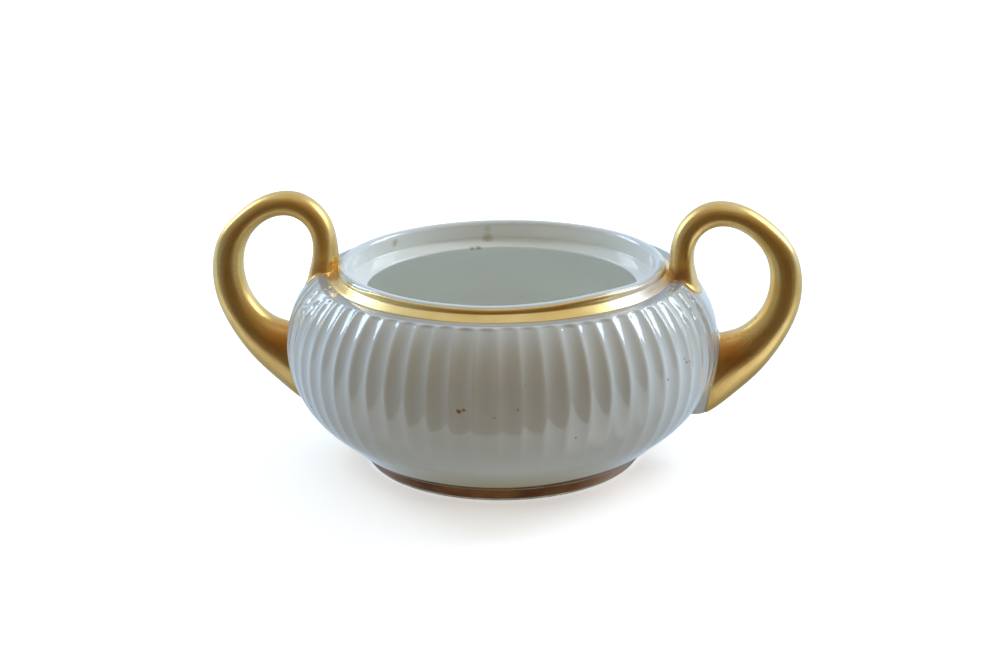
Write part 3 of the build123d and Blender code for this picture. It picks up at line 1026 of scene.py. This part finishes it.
# The world's light by level, from 0 straight down to 1 straight up: the table in front, the table
# at the right, the room in front and the bright half behind.
SHADED_TABLE = [
    (0.0, (0.36, 0.37, 0.34)),
    (0.12, (0.66, 0.68, 0.68)),
    (0.27, (0.96, 1.02, 1.08)),
    (0.4, (0.78, 0.9, 1.02)),
]
LIT_TABLE = [
    (0.0, (0.52, 0.54, 0.52)),
    (0.12, (1.3, 1.38, 1.42)),
    (0.27, (1.2, 1.3, 1.4)),
    (0.4, (0.86, 0.98, 1.1)),
]
ROOM = [
    (0.20, (0.12, 0.076, 0.032)),
    (0.54, (0.105, 0.068, 0.032)),
    (0.67, (0.26, 0.17, 0.055)),
    (0.79, (0.33, 0.225, 0.085)),
    (0.88, (0.42, 0.38, 0.31)),
    (0.95, (0.70, 0.72, 0.72)),
]
SKY = [
    (0.0, (0.36, 0.37, 0.34)),
    (0.08, (0.26, 0.25, 0.20)),
    (0.24, (0.56, 0.68, 0.82)),
    (0.50, (0.74, 0.94, 1.18)),
    (0.60, (0.66, 0.82, 1.02)),
    (0.67, (0.50, 0.60, 0.70)),
    (0.75, (0.74, 0.90, 1.20)),
    (0.84, (0.70, 0.84, 1.08)),
    (0.95, (0.70, 0.72, 0.72)),
]


def make_floor():
    """A pale floor. It isn't in the bowl's reflections, where the world's lower half stands for it."""
    size = FLOOR_HALF
    corners = [(-size, -size, 0), (size, -size, 0), (size, size, 0), (-size, size, 0)]
    floor = mesh_object("floor", corners, [(0, 1, 2, 3)])
    material, tree, shader, node = new_material("pale_floor")
    place = object_place(node)
    cloud = noise(node, place, 2.0, 2.0)
    colour = ramp(node, cloud, [(0.3, (0.86, 0.86, 0.86)), (0.7, (0.9, 0.9, 0.9))])
    tree.links.new(colour, shader.inputs["Base Color"])
    shader.inputs["Roughness"].default_value = 0.9
    shader.inputs["Specular IOR Level"].default_value = 0.0
    shader.inputs["Emission Color"].default_value = (1.0, 1.0, 1.0, 1.0)
    shader.inputs["Emission Strength"].default_value = 0.5
    floor.data.materials.append(material)
    floor.visible_diffuse = False
    floor.visible_glossy = False


def make_backdrop():
    """A pale wall round the far floor for low views. Only the camera sees it: it lights nothing."""
    turns = np.linspace(0.0, 2.0 * math.pi, 64, endpoint=False)
    wall = np.column_stack([np.cos(turns), np.sin(turns)]) * BACKDROP_R
    low = [(x, y, -BACKDROP_UNDER) for x, y in wall]
    high = [(x, y, BACKDROP_TOP) for x, y in wall]
    count = len(turns)
    faces = [(i, (i + 1) % count, (i + 1) % count + count, i + count) for i in range(count)]
    backdrop = mesh_object("backdrop", low + high, faces)
    material, tree, shader, node = new_material("pale_backdrop")
    place = object_place(node)
    height = upward(node, place)
    colour = ramp(node, height, [(0.0, (0.97, 0.97, 0.97)), (1.0, (1.0, 1.0, 1.0))])
    shader.inputs["Base Color"].default_value = (0.0, 0.0, 0.0, 1.0)
    shader.inputs["Specular IOR Level"].default_value = 0.0
    tree.links.new(colour, shader.inputs["Emission Color"])
    shader.inputs["Emission Strength"].default_value = 1.0
    backdrop.data.materials.append(material)
    backdrop.visible_diffuse = False
    backdrop.visible_glossy = False
    backdrop.visible_transmission = False
    backdrop.visible_shadow = False


def add_light(name, place, size, radiance, colour, target=(0, 0, 0.03)):
    """A rectangular soft light that looks this bright, aimed at the bowl."""
    light = bpy.data.lights.new(name, "AREA")
    light.shape = "RECTANGLE"
    light.size, light.size_y = size
    # A flat light gives off pi times its radiance from each square metre.
    light.energy = radiance * math.pi * size[0] * size[1]
    light.color = colour
    lamp = bpy.data.objects.new(name, light)
    lamp.location = place
    lamp.rotation_euler = (Vector(target) - Vector(place)).to_track_quat("-Z", "Y").to_euler()
    lamp.visible_camera = False
    bpy.context.scene.collection.objects.link(lamp)


def around(bearing, rise, distance):
    """A place this far from the bowl, in degrees from straight behind it (plus to the right)."""
    turn = math.radians(BEHIND - bearing)
    level = distance * math.cos(math.radians(rise))
    return (level * math.cos(turn), level * math.sin(turn), distance * math.sin(math.radians(rise)))


def make_world():
    """A room lit from behind the bowl: its half behind is bright, and its front half warm and dim."""
    world = bpy.data.worlds.new("soft_room")
    bpy.context.scene.world = world
    world.use_nodes = True
    tree = world.node_tree
    node = node_maker(tree)
    direction = node("ShaderNodeTexCoord").outputs["Generated"]
    up = upward(node, direction)
    level = between(node, up, -1.0, 1.0)
    bright_side = math.radians(BEHIND - 8.0)
    behind_way = (math.cos(bright_side), math.sin(bright_side), 0.0)
    facing = node("ShaderNodeVectorMath", {0: direction, 1: behind_way}, operation="DOT_PRODUCT")
    facing = facing.outputs["Value"]
    # The table is light near the bowl and all the way out at its sides, and dark further in front.
    square = node("ShaderNodeMath", {0: facing, 1: facing}, operation="MULTIPLY").outputs[0]
    lowered = {0: square, 1: TABLE_DROP, 2: up}
    over_table = node("ShaderNodeMath", lowered, operation="MULTIPLY_ADD").outputs[0]
    above_edge = between(node, over_table, *TABLE_EDGE)
    table = ramp(node, level, SHADED_TABLE)
    lit_table = ramp(node, level, LIT_TABLE)
    # The bowl shades the table close to itself, but the right window lights it at the right.
    left_side = math.radians(BEHIND + 90.0)
    left_way = (math.cos(left_side), math.sin(left_side), 0.0)
    leftward = node("ShaderNodeVectorMath", {0: direction, 1: left_way}, operation="DOT_PRODUCT")
    leftward = leftward.outputs["Value"]
    table = mix(node, between(node, leftward, -0.15, -0.5), table, lit_table)
    room = ramp(node, level, ROOM)
    # Some of the left window's cool light comes round to the front.
    cool = between(node, leftward, 0.5, 0.95, 0.0, 0.7)
    room = mix(node, cool, room, (0.36, 0.44, 0.52))
    sky = ramp(node, level, SKY)
    front = mix(node, above_edge, table, room)
    behind = between(node, facing, -0.06, 0.08)
    tree.links.new(mix(node, behind, front, sky), tree.nodes["Background"].inputs["Color"])
    tree.nodes["Background"].inputs["Strength"].default_value = 1.0


def make_camera():
    """The view: from a little right of the middle, looking down at the bowl. Lengths in metres."""
    place_angle = math.radians(-82.9)
    away, height = 0.435, 0.177
    heading = math.radians(97.19)
    pitch, roll = math.radians(18.17), math.radians(0.8)
    level = math.cos(pitch)
    forward = Vector((math.cos(heading) * level, math.sin(heading) * level, -math.sin(pitch)))
    right = forward.cross(Vector((0, 0, 1))).normalized()
    up = right.cross(forward)
    tilted_right = right * math.cos(roll) - up * math.sin(roll)
    tilted_up = up * math.cos(roll) + right * math.sin(roll)
    camera = bpy.data.objects.new("camera", bpy.data.cameras.new("camera"))
    axes = Matrix((tilted_right, tilted_up, -forward)).transposed()
    camera.matrix_world = Matrix.Translation(
        (away * math.cos(place_angle), away * math.sin(place_angle), height)
    ) @ axes.to_4x4()
    camera.data.lens = 58.86
    camera.data.sensor_width = 36.0
    camera.data.clip_start = 0.01
    bpy.context.scene.collection.objects.link(camera)
    bpy.context.scene.camera = camera


make_camera()
make_world()
make_floor()
make_backdrop()
add_light("left_window", around(-56.0, 28.0, 2.0), (0.60, 0.95), 6.8, (0.68, 0.84, 1.0))
add_light("right_window", around(66.0, 33.0, 2.0), (0.75, 1.10), 7.8, (0.82, 0.92, 1.0))

porcelain = porcelain_material()
handle_gold = gold_material(
    "handle_gilding_gold", (0.86, 0.62, 0.25), (0.76, 0.49, 0.155), 0.33, 0.0, HANDLE_STAINS
)
neck_gold = gold_material(
    "neck_gilding_gold", (0.92, 0.69, 0.30), (0.82, 0.57, 0.20), 0.30, 0.0, (), NECK_RUBS
)
# The foot's gold is coppery brown, painted darker still for the shaded table that it mirrors close
# below: partly its own colour, partly painted shade.
foot_gold = gold_material(
    "foot_gilding_gold", (0.27, 0.105, 0.024), (0.085, 0.026, 0.006), 0.40, 0.05, (), FOOT_RUBS
)
biscuit = biscuit_material()

make_bowl(porcelain)
make_foot(biscuit)
make_neck_band(neck_gold)
make_foot_band(foot_gold)
for side, name in ((-1, "left"), (1, "right")):
    make_handle(side, name, handle_gold, porcelain)
    for root in ("lower", "upper"):
        make_slip(side, name, root, porcelain)

bpy.context.scene.view_settings.view_transform = "Standard"
